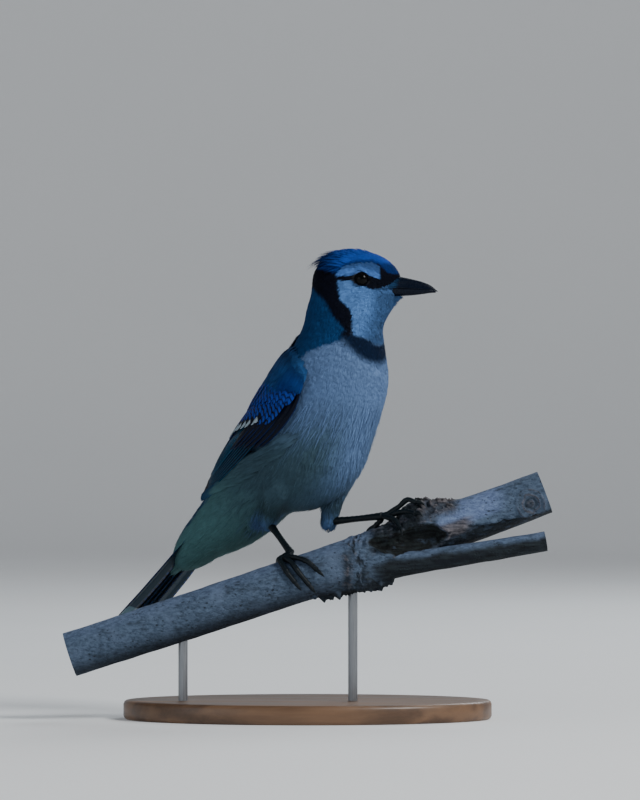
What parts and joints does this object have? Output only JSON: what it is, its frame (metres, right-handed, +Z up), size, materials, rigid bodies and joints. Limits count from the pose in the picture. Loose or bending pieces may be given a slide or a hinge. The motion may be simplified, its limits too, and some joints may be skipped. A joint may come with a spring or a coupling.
{
  "type": "blue jay model on a perch",
  "caption": "Life-size crested songbird with a barred wing and long tail, standing on a forked branch that a flat oval display base carries on rods.",
  "frame": {"origin": "centre of the display base's underside, on the surface it stands on", "axes": "+Z up, +X along the branch towards its fork, +Y the side that the tail hangs on"},
  "size_m": [0.2599, 0.1549, 0.2498],
  "materials": {
    "plumage_blue": "matte feathers",
    "plumage_barred": "feathers with a faint sheen",
    "plumage_grey": "matte feathers",
    "plumage_pale": "matte feathers",
    "horn": "satin black horn",
    "eye": "wet gloss",
    "leg_skin": "scaled black skin",
    "bark": "rough grey bark",
    "base_wood": "satin dark wood",
    "rod_steel": "brushed"
  },
  "bodies": {
    "root": {"head": "plumage_blue", "neck": "plumage_blue", "torso": "plumage_grey", "rump": "plumage_pale", "bill_upper": "horn", "bill_lower": "horn", "eye_left": "eye", "eye_right": "eye", "wing_left": "plumage_barred", "wing_right": "plumage_barred", "tail": "plumage_barred", "leg_left_thigh": "plumage_grey", "leg_left_foot": "leg_skin", "leg_right_thigh": "plumage_grey", "leg_right_foot": "leg_skin", "perch_branch": "bark", "perch_limb": "bark", "stand_base": "base_wood", "stand_rod_left": "rod_steel", "stand_rod_right": "rod_steel"}
  },
  "joints": []
}
